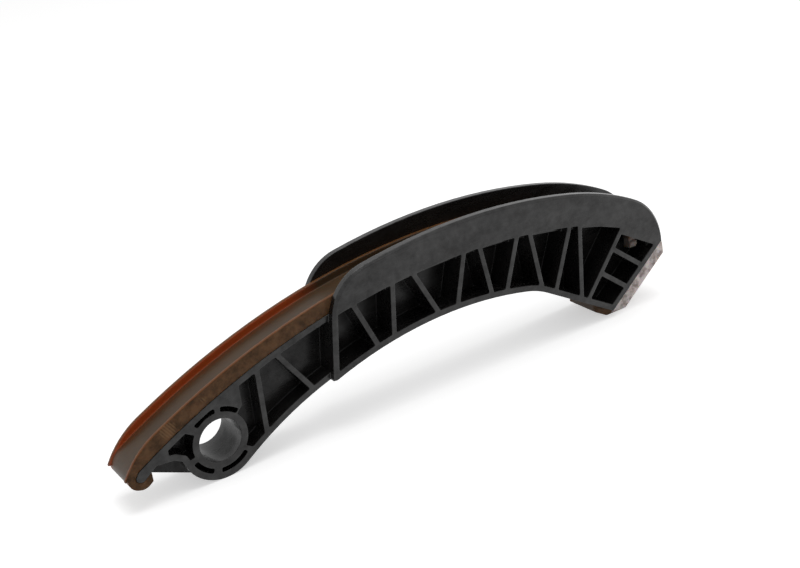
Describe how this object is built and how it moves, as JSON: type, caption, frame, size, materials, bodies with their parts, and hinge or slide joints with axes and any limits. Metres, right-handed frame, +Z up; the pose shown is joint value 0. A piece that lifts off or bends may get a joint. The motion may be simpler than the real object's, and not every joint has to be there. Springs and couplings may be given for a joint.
{
  "type": "timing chain tensioner rail",
  "caption": "Curved pivoting chain tensioner rail: ribbed dark carrier with side cheeks, boss and bore, and a lipped slide liner clipped over its top.",
  "frame": {"origin": "middle of the pivot bore, halfway through the boss", "axes": "+X from the bore to the free end, +Y along the bore, +Z up as the rail stands on its boss and its foot"},
  "size_m": [0.1806, 0.017, 0.0475],
  "materials": {
    "carrier": "moulded, satin",
    "liner": "moulded, smooth"
  },
  "bodies": {
    "root": {"carrier": "carrier", "liner": "liner"}
  },
  "joints": []
}
